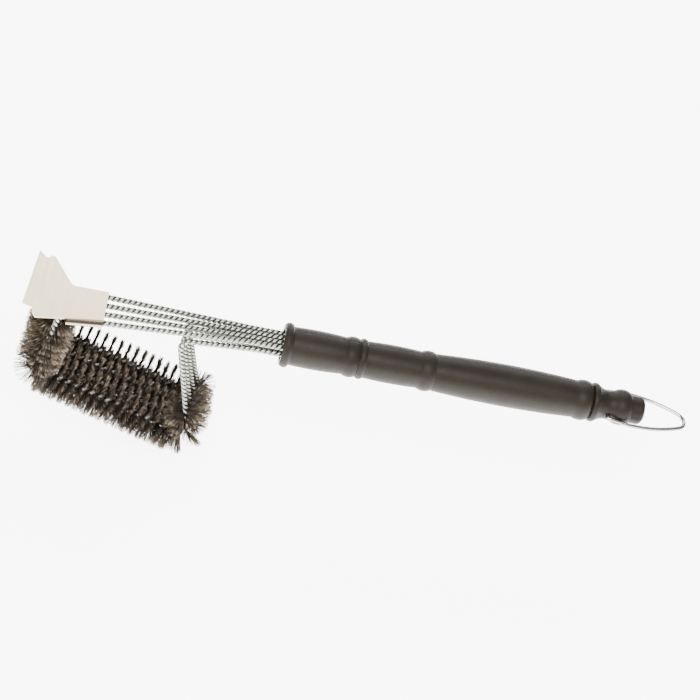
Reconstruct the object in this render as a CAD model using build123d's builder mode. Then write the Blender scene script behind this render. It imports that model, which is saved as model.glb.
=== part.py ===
"""A grill cleaning brush with a scraper blade, four twisted-wire bristle loops and a moulded handle.

Units are mm. +Z is up, the scraper side. +X runs from the head to the butt, along the handle's axis.
The origin is the centre of the flat butt. The pieces are drawn from the front face of the handle's
collar, and each is moved back by the handle's whole length as it is saved.
"""

from build123d import *
from math import atan2, cos, degrees, radians, sin, tan
import os

# Handle, a hollow moulding turned to a beaded outline
handle_len = 221.0
bore_r = 11.0
collar_r = 15.7
barrel_r = 13.9
waist_r = 13.0
bead_r = 14.35
grip_r = 14.95
joint_r = 11.6
fit = 0.05

# End cap
cap_len = 39.0
flange_r = 13.95
neck_r = 10.3
bulge_r = 12.7
butt_r = 10.0
spigot_len = 20.0
spigot_wall = 2.4

# Hanging loop
pivot_x = 234.0
loop_wire_r = 1.35
loop_peg_in = 5.0
loop_bend_r = 1.9
loop_shoulder_r = 25.0
loop_corner = 13.35
loop_leg_x = 12.5
loop_leg_y = 15.1
loop_reach = 58.6
loop_side_turn = 25.0
loop_droop = 3.5

# Twisted wire loops
wire_r = 2.1
bend_r = 6.0
loop_count = 4
layer_z = 3.2
pitch_handle = 4.5
pitch_sleeve = 8.3
pitch_row = 13.5
pitch_drop = 6.7
spread_x = -20.0
wire_end_x = 40.0
sleeve_z = 0.85
front_top_x = -152.0
front_low = (-163.5, -45.5)
rear_low = (-48.4, -89.6)
drop_top = (-67.5, -4.6)
rear_step = 1.2

# Bristles, round each loop's front, long row and lower drop
bristle_r = 16.0
pack_gap = 0.3
front_pack_top = -3.4
rear_pack_top = -64.0

# Scraper, one folded sheet
sheet = 1.0
blade_top = 4.0
sleeve_rear = -122.5
sleeve_front = -147.0
sleeve_flare = 3.4
blade_front = -178.0
blade_far = 43.0
blade_near = -20.8
seam_half = 0.6

# Plug and crimp band that hold the wire ends in the handle
plug_front = 2.5
plug_back = 31.0
band_front = 32.0
band_back = 39.0
band_wall = 1.0

butt_x = handle_len + cap_len
positions = [index - (loop_count - 1) / 2 for index in range(loop_count)]
os.makedirs("parts", exist_ok=True)


def save(solid, label):
    """Writes one piece with the origin at the butt."""
    placed = Pos(-butt_x, 0, 0) * solid
    placed.label = label
    export_step(placed, f"parts/{label}.step")


def wire_route(k):
    """Corners of the loop that sits k steps off the middle, from its upper end to its lower end.

    The rear of each loop stands one rear_step further back than the loop before it.
    """
    return [
        (wire_end_x, k * pitch_handle, layer_z),
        (spread_x, k * pitch_handle, layer_z),
        (sleeve_rear, k * pitch_sleeve, sleeve_z),
        (front_top_x, k * pitch_sleeve, sleeve_z),
        (front_low[0], k * pitch_row, front_low[1]),
        (rear_low[0] + k * rear_step, k * pitch_row, rear_low[1]),
        (drop_top[0] + k * rear_step, k * pitch_drop, drop_top[1]),
        (spread_x, k * pitch_handle, -layer_z),
        (wire_end_x, k * pitch_handle, -layer_z),
    ]


def between(j, upper, lower, upper_pitch, lower_pitch, shift):
    """The plane midway between two loops, moved sideways by shift, with +Y in front of it."""
    top = Vector(upper[0], j * upper_pitch + shift, upper[1])
    low = Vector(lower[0], j * lower_pitch + shift, lower[1])
    along = (low - top).normalized()
    across = Vector(-along.Z, 0, along.X).normalized()
    normal = along.cross(across)
    if normal.Y < 0:
        normal = -normal
    return Plane(origin=top, z_dir=normal)


# Handle body
with BuildPart() as handle:
    with BuildSketch(Plane.XZ) as handle_section:
        with BuildLine():
            Line((0, bore_r), (0, collar_r - 1.5))
            ThreePointArc((0, collar_r - 1.5), (2.6, collar_r), (6.2, collar_r - 1.8))
            Line((6.2, collar_r - 1.8), (6.8, barrel_r - 0.4))
            ThreePointArc((6.8, barrel_r - 0.4), (19, barrel_r), (43.5, waist_r))
            ThreePointArc((43.5, waist_r), (48.3, bead_r), (53.1, waist_r + 0.1))
            ThreePointArc((53.1, waist_r + 0.1), (55.8, bead_r), (58.5, waist_r))
            ThreePointArc((58.5, waist_r), (78.4, waist_r + 0.6), (97, waist_r))
            ThreePointArc((97, waist_r), (101.9, bead_r), (107.2, waist_r + 0.1))
            ThreePointArc((107.2, waist_r + 0.1), (158, grip_r), (209.8, waist_r + 0.3))
            ThreePointArc((209.8, waist_r + 0.3), (214.8, bead_r + 0.1), (219.8, waist_r + 0.3))
            Line((219.8, waist_r + 0.3), (handle_len, joint_r))
            Line((handle_len, joint_r), (handle_len, bore_r))
            Line((handle_len, bore_r), (0, bore_r))
        make_face()
    revolve(axis=Axis.X)
save(handle.part, "handle_body")

# End cap with its spigot, butt and cross hole
with BuildPart() as cap:
    with BuildSketch(Plane.XZ) as cap_section:
        with BuildLine():
            spigot_x = handle_len - spigot_len
            Line((handle_len, bore_r - fit), (handle_len, joint_r))
            Line((handle_len, joint_r), (handle_len + 0.7, flange_r - 0.5))
            ThreePointArc(
                (handle_len + 0.7, flange_r - 0.5),
                (handle_len + 2.4, flange_r),
                (handle_len + 4.6, flange_r - 0.7),
            )
            ThreePointArc(
                (handle_len + 4.6, flange_r - 0.7),
                (handle_len + 12.4, neck_r),
                (handle_len + 18.6, bulge_r - 0.8),
            )
            ThreePointArc(
                (handle_len + 18.6, bulge_r - 0.8),
                (handle_len + 23.8, bulge_r),
                (handle_len + 28.8, bulge_r - 1.9),
            )
            Line((handle_len + 28.8, bulge_r - 1.9), (handle_len + 29.4, butt_r))
            Line((handle_len + 29.4, butt_r), (butt_x - 4, butt_r))
            ThreePointArc((butt_x - 4, butt_r), (butt_x - 1.1, butt_r - 0.9), (butt_x, butt_r - 3))
            Line((butt_x, butt_r - 3), (butt_x, 0))
            Line((butt_x, 0), (handle_len + 2, 0))
            Line((handle_len + 2, 0), (handle_len + 2, bore_r - spigot_wall))
            Line((handle_len + 2, bore_r - spigot_wall), (spigot_x, bore_r - spigot_wall))
            Line((spigot_x, bore_r - spigot_wall), (spigot_x, bore_r - fit))
            Line((spigot_x, bore_r - fit), (handle_len, bore_r - fit))
        make_face()
    revolve(axis=Axis.X)
    with Locations(Location((pivot_x, 0, 0), (90, 0, 0))):
        Cylinder(loop_wire_r + fit, 3 * bulge_r, mode=Mode.SUBTRACT)
save(cap.part, "end_cap")

# Hanging loop, one bent wire with its two pegs in the cap's cross hole
loop_plane = Plane(
    origin=(pivot_x, 0, 0),
    x_dir=(cos(radians(loop_droop)), 0, -sin(radians(loop_droop))),
    z_dir=(sin(radians(loop_droop)), 0, cos(radians(loop_droop))),
)
splay = atan2(loop_leg_y - loop_corner, loop_leg_x)
bend_start_y = loop_corner - loop_bend_r
bend_end_x = loop_bend_r * (1 - sin(splay))
bend_end_y = bend_start_y + loop_bend_r * cos(splay)
leg_end_y = bend_end_y + (loop_leg_x - bend_end_x) * tan(splay)
widest_x = loop_leg_x + loop_shoulder_r * sin(splay)
widest_y = leg_end_y + loop_shoulder_r * (1 - cos(splay))

# The sides bow in on one radius and the tip closes on a tighter one
side_sin = sin(radians(loop_side_turn))
side_cos = cos(radians(loop_side_turn))
length_left = loop_reach - widest_x
spread = side_sin + side_cos - 1
side_r = (length_left * side_cos - widest_y * (1 - side_sin)) / spread
tip_r = (widest_y * side_sin - length_left * (1 - side_cos)) / spread
side_end = (widest_x + side_r * side_sin, side_r * (1 - side_cos) - widest_y)
with BuildPart() as hanging:
    with BuildLine(loop_plane) as hanging_path:
        Line((0, -loop_peg_in), (0, -bend_start_y))
        JernArc((0, -bend_start_y), (0, -1), loop_bend_r, 90 - degrees(splay))
        Line((bend_end_x, -bend_end_y), (loop_leg_x, -leg_end_y))
        JernArc((loop_leg_x, -leg_end_y), (cos(splay), -sin(splay)), loop_shoulder_r, degrees(splay))
        JernArc((widest_x, -widest_y), (1, 0), side_r, loop_side_turn)
        JernArc(side_end, (side_cos, side_sin), tip_r, 90 - loop_side_turn)
    with BuildSketch(Plane(origin=hanging_path.line @ 0, z_dir=hanging_path.line % 0)):
        Circle(loop_wire_r)
    sweep(path=hanging_path.line)
    mirror(about=Plane.XZ)
save(hanging.part, "hanging_loop")

# Twisted wire loops, each one long wire doubled and twisted
for number, k in enumerate(positions, 1):
    with BuildPart() as wire:
        with BuildLine() as wire_path:
            FilletPolyline(*wire_route(k), radius=bend_r)
        with BuildSketch(Plane(origin=wire_path.line @ 0, z_dir=wire_path.line % 0)):
            Circle(wire_r)
        sweep(path=wire_path.line)
    save(wire.part, f"wire_loop_{number}")


def wire_clearance(k):
    """The space a loop's own wire takes, with its fit."""
    with BuildPart() as clearance:
        with BuildLine() as cut_path:
            FilletPolyline(*wire_route(k), radius=bend_r)
        with BuildSketch(Plane(origin=cut_path.line @ 0, z_dir=cut_path.line % 0)):
            Circle(wire_r + fit)
        sweep(path=cut_path.line)
    return clearance.part


def run_plane(start, finish):
    """A plane at start whose normal points to finish."""
    start = Vector(*start)
    return Plane(origin=start, z_dir=Vector(*finish) - start)


def trim_sides(k, upper, lower, upper_pitch, lower_pitch):
    """Cuts a bristle pack back to its own side of the planes between loops."""
    inner_steps = loop_count / 2 - 1
    if k - 0.5 >= -inner_steps:
        split(
            bisect_by=between(k - 0.5, upper, lower, upper_pitch, lower_pitch, pack_gap / 2),
            keep=Keep.TOP,
        )
    if k + 0.5 <= inner_steps:
        split(
            bisect_by=between(k + 0.5, upper, lower, upper_pitch, lower_pitch, -pack_gap / 2),
            keep=Keep.BOTTOM,
        )


def row_envelope(low_front, low_rear, radius):
    """A long rounded bar round the straight bottom run of a loop."""
    length = (Vector(*low_rear) - Vector(*low_front)).length
    with BuildPart() as envelope:
        with BuildSketch(run_plane(low_front, low_rear)):
            Circle(radius)
        extrude(amount=length)
        with Locations(low_front, low_rear):
            Sphere(radius)
    return envelope.part


front_top = (front_top_x, sleeve_z)
for number, k in enumerate(positions, 1):
    corner_top, corner_front, corner_rear, corner_drop = wire_route(k)[3:7]
    wire_space = wire_clearance(k)
    row_spaces = [
        row_envelope(*wire_route(near)[4:6], bristle_r + pack_gap) for near in (k - 1, k, k + 1)
    ]

    with BuildPart() as row_pack:
        add(row_envelope(corner_front, corner_rear, bristle_r))
        trim_sides(k, front_low, rear_low, pitch_row, pitch_row)
        add(wire_space, mode=Mode.SUBTRACT)
    save(row_pack.part, f"row_bristles_{number}")

    with BuildPart() as front_pack:
        with BuildSketch(run_plane(corner_front, corner_top)):
            Circle(bristle_r)
        extrude(amount=4 * bristle_r)
        split(bisect_by=Plane.XY.offset(front_pack_top), keep=Keep.BOTTOM)
        trim_sides(k, front_top, front_low, pitch_sleeve, pitch_row)
        add(row_spaces, mode=Mode.SUBTRACT)
        add(wire_space, mode=Mode.SUBTRACT)
    save(front_pack.part, f"front_bristles_{number}")

    with BuildPart() as rear_pack:
        with BuildSketch(run_plane(corner_rear, corner_drop)):
            Circle(bristle_r)
        extrude(amount=3 * bristle_r)
        split(bisect_by=Plane.XY.offset(rear_pack_top), keep=Keep.BOTTOM)
        trim_sides(k, drop_top, rear_low, pitch_drop, pitch_row)
        add(row_spaces, mode=Mode.SUBTRACT)
        add(wire_space, mode=Mode.SUBTRACT)
    save(rear_pack.part, f"rear_bristles_{number}")

# Scraper: a blade with its sleeve folded from the same sheet
sleeve_low = sleeve_z - wire_r - fit - sheet
sleeve_high = blade_top - sleeve_low
flat_half = (loop_count - 1) / 2 * pitch_sleeve
sleeve_half = flat_half + sleeve_high / 2
with BuildPart() as scraper:
    sections = ((sleeve_rear, 0), (sleeve_front, sleeve_flare))
    for inset, mode in ((0, Mode.ADD), (sheet, Mode.SUBTRACT)):
        for x, flare in sections:
            with BuildSketch(Plane.YZ.offset(x)):
                with Locations((-flare / 2, (blade_top + sleeve_low) / 2)):
                    RectangleRounded(
                        2 * (sleeve_half - inset) + flare,
                        sleeve_high - 2 * inset,
                        sleeve_high / 2 - inset - 0.01,
                    )
        loft(mode=mode)
    with Locations((sleeve_front, 0, sleeve_low)):
        Box(2 * (sleeve_rear - sleeve_front) + 1, 2 * seam_half, 3 * sheet, mode=Mode.SUBTRACT)
    with BuildSketch(Plane.XY.offset(blade_top - sheet)):
        with BuildLine():
            Polyline(
                (sleeve_rear, flat_half),
                (sleeve_rear, -flat_half),
                (sleeve_front, -flat_half - sleeve_flare - 1),
                (-167.5, blade_near),
                (-170, -17),
                (-170.8, -12.6),
                (blade_front, -10),
                (-174.5, blade_far),
                (-169.6, 37.4),
                (-166.8, 37.2),
                (-166, 39.8),
                (-163, 39),
                (-149.5, 17.6),
            )
            ThreePointArc((-149.5, 17.6), (-147, 15), (-143.5, sleeve_half - 1))
            Polyline((-143.5, sleeve_half - 1), (sleeve_rear, sleeve_half - 1), (sleeve_rear, flat_half))
        make_face()
    extrude(amount=sheet)
save(scraper.part, "scraper")

# Plug moulded round the wire ends
strand_spots = [(k * pitch_handle, side * layer_z) for k in positions for side in (-1, 1)]
with BuildPart() as plug:
    with BuildSketch(Plane.YZ.offset(plug_front)):
        Circle(bore_r - fit)
        with Locations(*strand_spots):
            Circle(wire_r + fit, mode=Mode.SUBTRACT)
    extrude(amount=plug_back - plug_front)
save(plug.part, "strand_plug")

# Crimp band round the eight wire ends, behind the plug
band_half_y = (loop_count - 1) / 2 * pitch_handle + wire_r + fit
band_half_z = layer_z + wire_r + fit
with BuildPart() as band:
    with BuildSketch(Plane.YZ.offset(band_front)):
        RectangleRounded(
            2 * (band_half_y + band_wall), 2 * (band_half_z + band_wall), wire_r + fit + band_wall
        )
        RectangleRounded(2 * band_half_y, 2 * band_half_z, wire_r + fit, mode=Mode.SUBTRACT)
    extrude(amount=band_back - band_front)
save(band.part, "crimp_band")
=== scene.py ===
import math
import bpy
import numpy as np
from mathutils import Matrix, Vector


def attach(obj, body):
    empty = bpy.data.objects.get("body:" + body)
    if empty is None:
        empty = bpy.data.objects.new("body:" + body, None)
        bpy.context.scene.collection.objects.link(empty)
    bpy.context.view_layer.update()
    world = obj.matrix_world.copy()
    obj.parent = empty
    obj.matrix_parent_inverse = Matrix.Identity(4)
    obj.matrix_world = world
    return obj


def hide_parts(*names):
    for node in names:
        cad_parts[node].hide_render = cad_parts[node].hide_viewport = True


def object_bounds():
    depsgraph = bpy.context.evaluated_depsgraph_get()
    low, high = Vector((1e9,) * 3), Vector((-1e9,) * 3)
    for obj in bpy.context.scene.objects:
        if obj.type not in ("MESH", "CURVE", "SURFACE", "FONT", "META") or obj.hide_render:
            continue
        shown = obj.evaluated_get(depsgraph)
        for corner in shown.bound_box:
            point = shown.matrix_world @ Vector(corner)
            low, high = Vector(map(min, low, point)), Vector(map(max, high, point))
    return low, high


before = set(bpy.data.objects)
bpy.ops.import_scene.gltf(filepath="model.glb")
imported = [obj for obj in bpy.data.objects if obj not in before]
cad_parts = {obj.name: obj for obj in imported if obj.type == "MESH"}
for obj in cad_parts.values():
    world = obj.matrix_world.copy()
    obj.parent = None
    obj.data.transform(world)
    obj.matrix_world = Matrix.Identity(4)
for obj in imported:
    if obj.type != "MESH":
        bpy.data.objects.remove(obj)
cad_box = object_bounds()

MM = 0.001
rng = np.random.default_rng(7)

# Sizes in mm, the driving numbers of the CAD. Routes are drawn from the front face of the handle
# and moved back by HANDLE_LEN, so that the origin is at the butt
HANDLE_LEN = 260.0
WIRE_R = 2.1
BEND_R = 6.0
LOOPS = 4
LAYER_Z = 3.2
PITCH_HANDLE, PITCH_SLEEVE, PITCH_ROW, PITCH_DROP = 4.5, 8.3, 13.5, 6.7
SPREAD_X, WIRE_END_X, SLEEVE_REAR, SLEEVE_Z = -20.0, 40.0, -122.5, 0.85
SLEEVE_FRONT = -147.0
SLEEVE_LOW, SLEEVE_HIGH = -2.6, 4.4
FRONT_TOP_X = -152.0
FRONT_LOW = (-163.5, -45.5)
REAR_LOW = (-48.4, -89.6)
DROP_TOP = (-67.5, -4.6)
REAR_STEP = 1.2
BRISTLE_R = 16.0
FAR_BRISTLE_R = 14.2
BLADE_UNDER = 3.0

# The twist of a rope: the length of one full turn where it is bare and where it holds bristles,
# and how flattened its two strands are
PLAIN_LAY = 7.4
BRISTLE_LAY = 12.5
TWIST_BLEND = 5.0
BARE_BLEND = 3.0
PLY_SPREAD = 1.28
ROPE_SIDES = 12
PATH_STEP = 0.45
ARC_STEP = 0.08

# Along the long row, a fan stands at this distance past the front corner, tilted this far off upright
FAN_AT = 2.75
FAN_TILT = math.radians(44.5)

# Where the bristles begin below the sleeve, and how far up the rear drop they reach
BARE_FRONT, BARE_FRONT_NEAREST = 8.0, 15.0
REAR_FAN, REAR_FAN_STEP = 16.5, 3.4

# Filaments: how many to a mm on the near and far loops, their outline, and how uneven they are
NEAR_DENSITY = {"front": 32, "row": 54, "rear": 34}
FAR_DENSITY = {"front": 32, "row": 42, "rear": 34}
FILAMENT_LEVELS = np.array([0.0, 0.4, 0.75, 1.0])
FILAMENT_R = np.array([0.21, 0.21, 0.18, 0.12])
FILAMENT_START = 0.8
FILAMENT_SIDES = 3
NEAR_SPREAD, FAR_SPREAD = math.radians(6.5), math.radians(6)
LEAN = 0.025
REACH_SPREAD = 0.03
ODD_SHARE, ODD_REACH = 0.06, (0.75, 1.06)
STRAY = 0.5
PALE_POWER = 2.6

# The blade, as far back as BLADE_BACK, and the strands behind it stop the filaments at these heights
BLADE_BACK = SLEEVE_FRONT + 2
UNDER_BLADE, UNDER_STRANDS = BLADE_UNDER - 0.2, -3.2
SHORTEST = 2.0

# How much paler the filaments of the front and rear runs are than those of the long row
RUN_PALENESS = {"front": 0.34, "row": 0.06, "rear": 0.50}

# Studio, in m: the floor, the surrounding light and the two softboxes
FLOOR_SIZE, FLOOR_GAP, FLOOR_GLOW = 12, 0.002, 7.0
SURROUND = 0.42
KEY_WATTS, BACK_WATTS = 45, 60
MIDDLE = (-0.2, 0, 0)


# ---------------------------------------------------------------- small helpers

def material(name):
    mat = bpy.data.materials.new(name)
    mat.use_nodes = True
    nt = mat.node_tree
    return mat, nt, nt.nodes["Principled BSDF"]


def node(nt, kind, inputs=(), **props):
    made = nt.nodes.new(kind)
    for key, value in props.items():
        setattr(made, key, value)
    for key, value in dict(inputs).items():
        made.inputs[key].default_value = value
    return made


def ramp(nt, source, stops):
    made = nt.nodes.new("ShaderNodeValToRGB")
    while len(made.color_ramp.elements) < len(stops):
        made.color_ramp.elements.new(0.5)
    for element, (at, colour) in zip(made.color_ramp.elements, stops):
        element.position = at
        element.color = (*colour, 1) if len(colour) == 3 else colour
    nt.links.new(source, made.inputs["Fac"])
    return made.outputs["Color"]


def grey(v):
    return (v, v, v)


def object_coords(nt, scale=(1, 1, 1)):
    coords = node(nt, "ShaderNodeTexCoord")
    mapping = node(nt, "ShaderNodeMapping")
    mapping.inputs["Scale"].default_value = scale
    nt.links.new(coords.outputs["Object"], mapping.inputs["Vector"])
    return mapping.outputs["Vector"]


def noise(nt, vector, scale, detail=4.0, rough=0.5):
    made = node(nt, "ShaderNodeTexNoise", {"Scale": scale, "Detail": detail, "Roughness": rough})
    nt.links.new(vector, made.inputs["Vector"])
    return made.outputs["Fac"]


def bump(nt, height, shader, strength, distance):
    made = node(nt, "ShaderNodeBump", {"Strength": strength, "Distance": distance})
    nt.links.new(height, made.inputs["Height"])
    nt.links.new(made.outputs["Normal"], shader.inputs["Normal"])


# ---------------------------------------------------------------- materials

def handle_plastic():
    mat, nt, bsdf = material("handle_plastic_look")
    xyz = object_coords(nt)
    mottle = noise(nt, xyz, 38.0, 5.0, 0.6)
    nt.links.new(ramp(nt, mottle, [(0.3, (0.0138, 0.0106, 0.0074)), (0.7, (0.0198, 0.0155, 0.0111))]),
                 bsdf.inputs["Base Color"])
    nt.links.new(ramp(nt, noise(nt, xyz, 210.0, 6.0, 0.7), [(0.25, grey(0.42)), (0.8, grey(0.58))]),
                 bsdf.inputs["Roughness"])
    bsdf.inputs["IOR"].default_value = 1.45
    bsdf.inputs["Specular IOR Level"].default_value = 0.17
    bump(nt, noise(nt, xyz, 1500.0, 2.0), bsdf, 0.12, 0.0002)
    return mat


def blade_steel():
    mat, nt, bsdf = material("blade_steel_look")
    grain = noise(nt, object_coords(nt, (900, 12, 12)), 1.0, 5.0, 0.6)
    cloud = noise(nt, object_coords(nt), 60.0, 3.0)
    face = ramp(nt, cloud, [(0.3, (0.58, 0.515, 0.355)), (0.7, (0.64, 0.575, 0.405))])
    # Painted shade and dark reflection: a dark band is painted along the sleeve's side wall, from 0.54 to
    # 0.92 of the sleeve's height, on the sleeve and not on the blade in front of it.
    split = node(nt, "ShaderNodeSeparateXYZ")
    nt.links.new(object_coords(nt), split.inputs[0])
    height = node(nt, "ShaderNodeMapRange", {"From Min": SLEEVE_LOW * MM, "From Max": SLEEVE_HIGH * MM})
    nt.links.new(split.outputs["Z"], height.inputs["Value"])
    band = ramp(nt, height.outputs["Result"],
                [(0.54, grey(0)), (0.60, grey(0.9)), (0.88, grey(1)), (0.92, grey(0))])
    length = node(nt, "ShaderNodeMapRange", {"From Min": (SLEEVE_FRONT - HANDLE_LEN - 1.6) * MM,
                                             "From Max": (SLEEVE_FRONT - HANDLE_LEN - 0.6) * MM})
    nt.links.new(split.outputs["X"], length.inputs["Value"])
    painted_side_shade = node(nt, "ShaderNodeMath", operation="MULTIPLY")
    nt.links.new(band, painted_side_shade.inputs[0])
    nt.links.new(length.outputs["Result"], painted_side_shade.inputs[1])
    mix = node(nt, "ShaderNodeMix", data_type="RGBA")
    nt.links.new(painted_side_shade.outputs[0], mix.inputs["Factor"])
    nt.links.new(face, mix.inputs["A"])
    # dark brown of the painted shade band on the sleeve's side
    mix.inputs["B"].default_value = (0.035, 0.027, 0.020, 1)
    nt.links.new(mix.outputs["Result"], bsdf.inputs["Base Color"])
    bsdf.inputs["Metallic"].default_value = 1.0
    nt.links.new(ramp(nt, grain, [(0.25, grey(0.34)), (0.75, grey(0.48))]), bsdf.inputs["Roughness"])
    bump(nt, grain, bsdf, 0.08, 0.0001)
    return mat


def rope_steel():
    mat, nt, bsdf = material("rope_steel_look")
    outward = node(nt, "ShaderNodeAttribute", attribute_name="outward")
    bare = node(nt, "ShaderNodeAttribute", attribute_name="bare")
    # Painted shade: each strand darkens towards the grooves where the two strands meet and lightens on its
    # crown. Where the rope holds bristles, the grooves are painted darker still and the crowns are painted
    # brighter.
    bare_strand_shade = ramp(nt, outward.outputs["Fac"], [(0.46, (0.070, 0.070, 0.062)), (0.58, (0.20, 0.202, 0.18)),
                                              (0.78, (0.36, 0.364, 0.325)), (1.0, (0.50, 0.505, 0.45))])
    held_strand_shade = ramp(nt, outward.outputs["Fac"], [(0.50, (0.008, 0.007, 0.006)), (0.70, (0.24, 0.23, 0.21)),
                                              (1.0, (0.85, 0.835, 0.78))])
    mix = node(nt, "ShaderNodeMix", data_type="RGBA")
    nt.links.new(bare.outputs["Fac"], mix.inputs["Factor"])
    nt.links.new(held_strand_shade, mix.inputs["A"])
    nt.links.new(bare_strand_shade, mix.inputs["B"])
    # Painted shade at the rope's edges: the colour darkens to a tenth as the surface turns away from the
    # view.
    facing = node(nt, "ShaderNodeLayerWeight", {"Blend": 0.5})
    painted_edge_shade = ramp(nt, facing.outputs["Facing"],
                [(0.12, grey(1)), (0.40, grey(0.64)), (0.70, grey(0.26)), (0.95, grey(0.10))])
    shaded = node(nt, "ShaderNodeMix", {"Factor": 1.0}, data_type="RGBA", blend_type="MULTIPLY")
    nt.links.new(mix.outputs["Result"], shaded.inputs["A"])
    nt.links.new(painted_edge_shade, shaded.inputs["B"])
    nt.links.new(shaded.outputs["Result"], bsdf.inputs["Base Color"])
    # A dark specular tint darkens the edge reflections too: painted shade at the rope's edges.
    bsdf.inputs["Specular Tint"].default_value = (0.10, 0.10, 0.09, 1)
    bsdf.inputs["Metallic"].default_value = 1.0
    streak = noise(nt, object_coords(nt), 900.0, 3.0)
    nt.links.new(ramp(nt, streak, [(0.3, grey(0.30)), (0.7, grey(0.46))]), bsdf.inputs["Roughness"])
    bump(nt, streak, bsdf, 0.10, 0.0001)
    return mat


def bristle_wire():
    mat, nt, bsdf = material("bristle_look")
    along = node(nt, "ShaderNodeAttribute", attribute_name="along")
    tone = node(nt, "ShaderNodeAttribute", attribute_name="tone")
    # Darker towards the roots and paler towards the tips. The dark roots are painted shade of the packed
    # bristles near the rope. The pale tips are partly the filaments' own lighter ends and partly painted
    # light that the tips catch.
    dark = ramp(nt, along.outputs["Fac"], [(0.0, (0.002, 0.0015, 0.0011)), (0.7, (0.005, 0.004, 0.003)),
                                           (1.0, (0.025, 0.0195, 0.0145))])
    pale = ramp(nt, along.outputs["Fac"], [(0.0, (0.02, 0.0150, 0.0105)), (0.55, (0.115, 0.088, 0.062)),
                                           (0.85, (0.33, 0.255, 0.18)), (1.0, (0.70, 0.56, 0.41))])
    mix = node(nt, "ShaderNodeMix", data_type="RGBA")
    clump = ramp(nt, noise(nt, object_coords(nt), 260.0, 3.0, 0.6), [(0.40, grey(0.25)), (0.62, grey(1))])
    patchy = node(nt, "ShaderNodeMath", operation="MULTIPLY")
    nt.links.new(tone.outputs["Fac"], patchy.inputs[0])
    nt.links.new(clump, patchy.inputs[1])
    nt.links.new(patchy.outputs[0], mix.inputs["Factor"])
    nt.links.new(dark, mix.inputs["A"])
    nt.links.new(pale, mix.inputs["B"])
    nt.links.new(mix.outputs["Result"], bsdf.inputs["Base Color"])
    bsdf.inputs["Specular IOR Level"].default_value = 0.15
    nt.links.new(ramp(nt, noise(nt, object_coords(nt), 400.0, 2.0), [(0.3, grey(0.5)), (0.7, grey(0.7))]),
                 bsdf.inputs["Roughness"])
    return mat


def loop_chrome():
    mat, nt, bsdf = material("loop_steel_look")
    xyz = object_coords(nt)
    # Painted reflection: the colour is bright where the loop faces the view and dark towards its sides, a
    # painted highlight down its middle and painted dark reflections along its edges.
    facing = node(nt, "ShaderNodeLayerWeight", {"Blend": 0.5})
    painted_reflection = ramp(nt, facing.outputs["Facing"], [(0.08, (0.72, 0.72, 0.71)), (0.30, (0.22, 0.217, 0.21)),
                                                (0.55, (0.05, 0.049, 0.046)), (0.9, (0.09, 0.088, 0.084))])
    nt.links.new(painted_reflection, bsdf.inputs["Base Color"])
    bsdf.inputs["Metallic"].default_value = 1.0
    nt.links.new(ramp(nt, noise(nt, xyz, 700.0, 4.0), [(0.3, grey(0.10)), (0.75, grey(0.22))]),
                 bsdf.inputs["Roughness"])
    return mat


def plug_plastic():
    mat, nt, bsdf = material("plug_look")
    xyz = object_coords(nt)
    mottle = noise(nt, xyz, 90.0, 4.0)
    nt.links.new(ramp(nt, mottle, [(0.3, (0.012, 0.011, 0.010)), (0.7, (0.022, 0.020, 0.018))]),
                 bsdf.inputs["Base Color"])
    nt.links.new(ramp(nt, noise(nt, xyz, 300.0, 4.0), [(0.3, grey(0.5)), (0.7, grey(0.7))]),
                 bsdf.inputs["Roughness"])
    return mat


# ---------------------------------------------------------------- wire routes

def unit(v):
    return v / np.linalg.norm(v)


def wire_route(k):
    return np.array([
        (WIRE_END_X, k * PITCH_HANDLE, LAYER_Z),
        (SPREAD_X, k * PITCH_HANDLE, LAYER_Z),
        (SLEEVE_REAR, k * PITCH_SLEEVE, SLEEVE_Z),
        (FRONT_TOP_X, k * PITCH_SLEEVE, SLEEVE_Z),
        (FRONT_LOW[0], k * PITCH_ROW, FRONT_LOW[1]),
        (REAR_LOW[0] + k * REAR_STEP, k * PITCH_ROW, REAR_LOW[1]),
        (DROP_TOP[0] + k * REAR_STEP, k * PITCH_DROP, DROP_TOP[1]),
        (SPREAD_X, k * PITCH_HANDLE, -LAYER_Z),
        (WIRE_END_X, k * PITCH_HANDLE, -LAYER_Z),
    ]) - np.array([HANDLE_LEN, 0, 0])


def rounded(corners, radius, step):
    """Evenly spaced points along the corners' path, with an arc of the radius at each corner."""
    path = [corners[0]]
    for before, corner, after in zip(corners, corners[1:], corners[2:]):
        d1, d2 = unit(corner - before), unit(after - corner)
        turn = math.acos(np.clip(d1 @ d2, -1, 1))
        inward = unit(d2 - (d2 @ d1) * d1)
        start = corner - d1 * radius * math.tan(turn / 2)
        for t in np.linspace(0, turn, max(2, int(turn / ARC_STEP) + 1)):
            path.append(start + radius * (math.sin(t) * d1 + (1 - math.cos(t)) * inward))
    path.append(corners[-1])
    path = np.array(path)
    far = np.concatenate([[0], np.cumsum(np.linalg.norm(np.diff(path, axis=0), axis=1))])
    even = np.linspace(0, far[-1], int(far[-1] / step) + 1)
    return even, np.stack([np.interp(even, far, path[:, i]) for i in range(3)], 1)


def carried_frames(points):
    """Tangent, normal and third axis at each point, with no twist of their own."""
    tangents = np.gradient(points, axis=0)
    tangents /= np.linalg.norm(tangents, axis=1)[:, None]
    normal = unit(np.cross(tangents[0], (0, 1, 0)))
    normals = []
    for t in tangents:
        normal = unit(normal - (normal @ t) * t)
        normals.append(normal)
    normals = np.array(normals)
    return tangents, normals, np.cross(tangents, normals)


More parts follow.
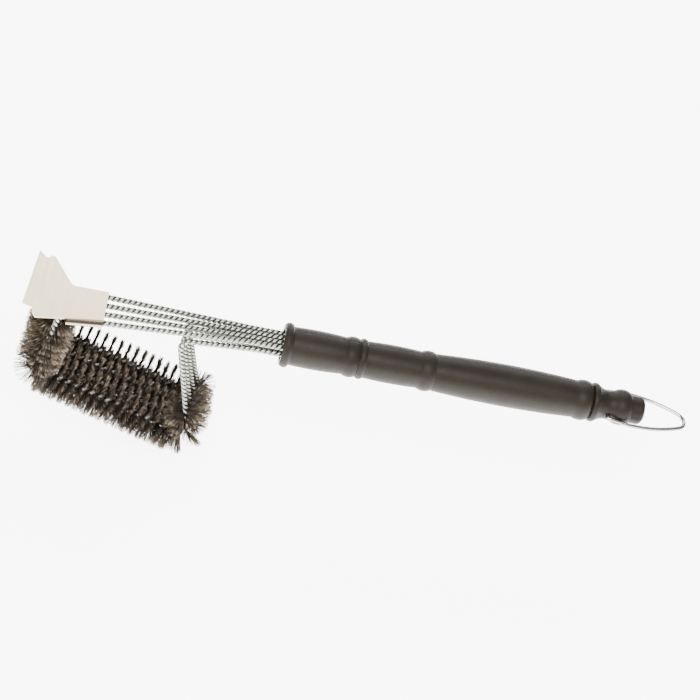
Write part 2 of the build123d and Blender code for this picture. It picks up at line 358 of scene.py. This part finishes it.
class Rope:
    """One wire loop: its middle line, its frames and the turn of its two twisted strands."""

    def __init__(self, k):
        corners = wire_route(k)
        self.k = k
        self.s, self.p = rounded(corners, BEND_R, PATH_STEP)
        self.t, self.n, self.b = carried_frames(self.p)

        def nearest(point):
            return self.s[int(np.argmin(np.linalg.norm(self.p - point, axis=1)))]

        self.s_corner_front = nearest(corners[4])
        self.s_corner_rear = nearest(corners[5])
        self.s_first = nearest(corners[3]) + (BARE_FRONT_NEAREST if k < -1 else BARE_FRONT)
        self.s_last = self.s_corner_rear + REAR_FAN - REAR_FAN_STEP * k
        share = self.bristled(TWIST_BLEND)
        rate = (1 - share) / PLAIN_LAY + share / BRISTLE_LAY
        turns = np.concatenate([[0], np.cumsum(np.diff(self.s) * (rate[1:] + rate[:-1]) / 2)])
        self.phase = -2 * math.pi * turns
        run = unit(corners[5] - corners[4])
        lift = unit(np.cross(run, (0, -1, 0)))
        fan = math.cos(FAN_TILT) * lift + math.sin(FAN_TILT) * np.array((0, 1, 0))
        _, _, n, b, there = self.at(np.array([self.s_corner_front + FAN_AT]))
        self.phase += math.atan2(fan @ b[0], fan @ n[0]) - math.pi / 2 - there[0]

    def bristled(self, blend):
        """1 where the rope holds bristles and 0 where it is bare, with a soft step between."""
        return 0.5 * (np.tanh((self.s - self.s_first) / blend) - np.tanh((self.s - self.s_last) / blend))

    def at(self, s):
        """Middle line, tangent, normal, third axis and phase at the distances s along the rope."""
        def pick(values):
            return np.stack([np.interp(s, self.s, values[:, i]) for i in range(3)], 1)

        return pick(self.p), pick(self.t), pick(self.n), pick(self.b), np.interp(s, self.s, self.phase)


# ---------------------------------------------------------------- meshes

def make_object(name, verts, faces, mat, **values):
    mesh = bpy.data.meshes.new(name)
    mesh.from_pydata((np.asarray(verts) * MM).tolist(), [], faces)
    for key, data in values.items():
        attribute = mesh.attributes.new(key, "FLOAT", "POINT")
        attribute.data.foreach_set("value", np.asarray(data, np.float32))
    mesh.materials.append(mat)
    mesh.shade_smooth()
    made = bpy.data.objects.new(name, mesh)
    bpy.context.scene.collection.objects.link(made)
    return made


def tube_faces(rings, sides, first):
    faces = []
    for i in range(rings - 1):
        for j in range(sides):
            a, b = first + i * sides + j, first + i * sides + (j + 1) % sides
            faces.append((a, b, b + sides, a + sides))
    faces.append(tuple(first + j for j in reversed(range(sides))))
    faces.append(tuple(first + (rings - 1) * sides + j for j in range(sides)))
    return faces


def build_rope(rope, number, mat):
    """Two strands twisted round the rope's middle line."""
    verts, faces, outward, bare = [], [], [], []
    open_wire = 1 - rope.bristled(BARE_BLEND)
    ply_r = WIRE_R / 2
    ring = np.linspace(0, 2 * math.pi, ROPE_SIDES, endpoint=False)
    for turn in (0, math.pi):
        angle = rope.phase + turn
        radial = np.cos(angle)[:, None] * rope.n + np.sin(angle)[:, None] * rope.b
        middle = rope.p + radial * ply_r
        along = np.gradient(middle, axis=0)
        along /= np.linalg.norm(along, axis=1)[:, None]
        radial -= (radial * along).sum(1)[:, None] * along
        radial /= np.linalg.norm(radial, axis=1)[:, None]
        side = np.cross(along, radial)
        first = sum(len(v) for v in verts)
        tube = middle[:, None] + ply_r * (np.cos(ring)[None, :, None] * radial[:, None]
                                          + PLY_SPREAD * np.sin(ring)[None, :, None] * side[:, None])
        verts.append(tube.reshape(-1, 3))
        # outward drives the painted groove shade and crown highlight in the rope's colour
        outward.append(np.tile((1 + np.cos(ring)) / 2, len(middle)))
        bare.append(np.repeat(open_wire, ROPE_SIDES))
        faces += tube_faces(len(middle), ROPE_SIDES, first)
    made = make_object(f"twisted_rope_{number}", np.concatenate(verts), faces, mat,
                       outward=np.concatenate(outward), bare=np.concatenate(bare))
    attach(made, "brush")
    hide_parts(f"wire_loop_{number}")


def build_bristles(rope, number, run, s_from, s_to, mat):
    """The filaments of one run, held in the groove between the rope's two strands."""
    near = rope.k < 0
    density = (NEAR_DENSITY if near else FAR_DENSITY)[run] * 1.0
    count = int((s_to - s_from) * density)
    s = rng.uniform(s_from, s_to, count)
    centre, tangent, normal, third, phase = rope.at(s)
    side = rng.choice((0, math.pi), count)
    angle = phase + math.pi / 2 + side + rng.normal(0, NEAR_SPREAD if near else FAR_SPREAD, count)
    out = np.cos(angle)[:, None] * normal + np.sin(angle)[:, None] * third
    out += rng.normal(0, LEAN, count)[:, None] * tangent
    out /= np.linalg.norm(out, axis=1)[:, None]
    reach = (BRISTLE_R if near else FAR_BRISTLE_R) * (1.0 + rng.normal(0, REACH_SPREAD, count))
    reach *= np.where(rng.random(count) < ODD_SHARE, rng.uniform(*ODD_REACH, count), 1)

    # the blade and the strands stop the filaments that would pass through them
    up = np.maximum(out[:, 2], 1e-6)
    tip_x = centre[:, 0] + HANDLE_LEN + out[:, 0] * reach
    limit = np.where(tip_x < BLADE_BACK, UNDER_BLADE, UNDER_STRANDS)
    room = (limit - centre[:, 2]) / up
    reach = np.where(out[:, 2] > 0, np.minimum(reach, np.maximum(room, SHORTEST)), reach)

    stray = (np.cross(out, tangent) * rng.normal(0, STRAY, count)[:, None]
             + tangent * rng.normal(0, STRAY, count)[:, None])
    r = FILAMENT_START + (reach[:, None] - FILAMENT_START) * FILAMENT_LEVELS[None, :]
    line = (centre[:, None] + out[:, None] * r[:, :, None]
            + stray[:, None] * (FILAMENT_LEVELS ** 2)[None, :, None])
    e1 = np.cross(out, tangent)
    e1 /= np.linalg.norm(e1, axis=1)[:, None]
    e2 = np.cross(out, e1)
    ring = np.linspace(0, 2 * math.pi, FILAMENT_SIDES, endpoint=False)
    offsets = np.cos(ring)[None, :, None] * e1[:, None] + np.sin(ring)[None, :, None] * e2[:, None]
    verts = line[:, :, None] + FILAMENT_R[None, :, None, None] * offsets[:, None]

    rings = len(FILAMENT_LEVELS)
    one = []
    for i in range(rings - 1):
        for j in range(FILAMENT_SIDES):
            a, b = i * FILAMENT_SIDES + j, i * FILAMENT_SIDES + (j + 1) % FILAMENT_SIDES
            one.append((a, b, b + FILAMENT_SIDES, a + FILAMENT_SIDES))
    stride = rings * FILAMENT_SIDES
    first = stride * np.arange(count)[:, None, None]
    quads = (np.array(one)[None] + first).reshape(-1, 4)
    tip = (rings - 1) * FILAMENT_SIDES + np.arange(FILAMENT_SIDES)
    caps = (tip[None, None] + first).reshape(-1, FILAMENT_SIDES)
    faces = quads.tolist() + caps.tolist()
    along = np.repeat((r / BRISTLE_R)[:, :, None], FILAMENT_SIDES, 2).reshape(-1)
    tone = np.repeat(np.clip(RUN_PALENESS[run] + rng.random(count) ** PALE_POWER, 0, 1), stride)
    made = make_object(f"{run}_filaments_{number}", verts.reshape(-1, 3), faces, mat,
                       along=np.clip(along, 0, 1), tone=tone)
    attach(made, "brush")
    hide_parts(f"{run}_bristles_{number}")


rope_mat = rope_steel()
bristle_mat = bristle_wire()
for number in range(1, LOOPS + 1):
    k = number - 1 - (LOOPS - 1) / 2
    rope = Rope(k)
    build_rope(rope, number, rope_mat)
    build_bristles(rope, number, "front", rope.s_first, rope.s_corner_front, bristle_mat)
    build_bristles(rope, number, "row", rope.s_corner_front, rope.s_corner_rear, bristle_mat)
    build_bristles(rope, number, "rear", rope.s_corner_rear, rope.s_last, bristle_mat)

# ---------------------------------------------------------------- carried-over CAD nodes

looks = {
    "handle_body": handle_plastic(),
    "scraper": blade_steel(),
    "hanging_loop": loop_chrome(),
    "strand_plug": plug_plastic(),
}
looks["end_cap"] = looks["handle_body"]
looks["crimp_band"] = looks["scraper"]
for name, mat in looks.items():
    for slot in bpy.data.objects[name].material_slots:
        slot.material = mat

# ---------------------------------------------------------------- floor, light and camera

low = cad_box[0][2]
bpy.ops.mesh.primitive_plane_add(size=FLOOR_SIZE, location=(MIDDLE[0], 0, low - FLOOR_GAP))
floor = bpy.context.object
floor.name = "floor"
floor_mat, nt, bsdf = material("floor_look")
nt.links.new(ramp(nt, noise(nt, object_coords(nt), 3.0), [(0.3, grey(0.90)), (0.7, grey(0.93))]),
             bsdf.inputs["Base Color"])
bsdf.inputs["Roughness"].default_value = 0.9
bsdf.inputs["Emission Color"].default_value = (1, 1, 1, 1)
bsdf.inputs["Emission Strength"].default_value = FLOOR_GLOW
floor.data.materials.append(floor_mat)

world = bpy.data.worlds.new("studio")
bpy.context.scene.world = world
world.use_nodes = True
world.node_tree.nodes["Background"].inputs["Color"].default_value = (1, 1, 1, 1)
world.node_tree.nodes["Background"].inputs["Strength"].default_value = SURROUND


def softbox(name, at, target, size, power):
    data = bpy.data.lights.new(name, "AREA")
    data.shape = "RECTANGLE"
    data.size, data.size_y = size
    data.energy = power
    lamp = bpy.data.objects.new(name, data)
    lamp.location = at
    lamp.rotation_mode = "QUATERNION"
    lamp.rotation_quaternion = (Vector(target) - Vector(at)).to_track_quat("-Z", "Y")
    bpy.context.scene.collection.objects.link(lamp)


softbox("key", (-0.35, -0.85, 1.5), MIDDLE, (1.2, 0.8), KEY_WATTS)
softbox("back", (-0.2, 1.7, 1.35), MIDDLE, (2.2, 1.0), BACK_WATTS)

AZIMUTH, ELEVATION, ROLL = math.radians(-10.5), math.radians(45), math.radians(18.056)
TARGET = Vector((46.46 - HANDLE_LEN, 0, 6.52)) * MM
DISTANCE = 1.20683
back = Vector((math.sin(AZIMUTH) * math.cos(ELEVATION), -math.cos(AZIMUTH) * math.cos(ELEVATION),
               math.sin(ELEVATION)))
right0 = Vector((math.cos(AZIMUTH), math.sin(AZIMUTH), 0))
up0 = back.cross(right0)
right = math.cos(ROLL) * right0 + math.sin(ROLL) * up0
up = -math.sin(ROLL) * right0 + math.cos(ROLL) * up0
camera_data = bpy.data.cameras.new("camera")
camera_data.sensor_width = 36
camera_data.lens = 90
camera_data.clip_start = 0.05
camera_data.clip_end = 30
camera = bpy.data.objects.new("camera", camera_data)
camera.rotation_mode = "QUATERNION"
camera.rotation_quaternion = Matrix((right, up, back)).transposed().to_quaternion()
camera.location = TARGET + back * DISTANCE
bpy.context.scene.collection.objects.link(camera)
bpy.context.scene.camera = camera

bpy.context.view_layer.update()
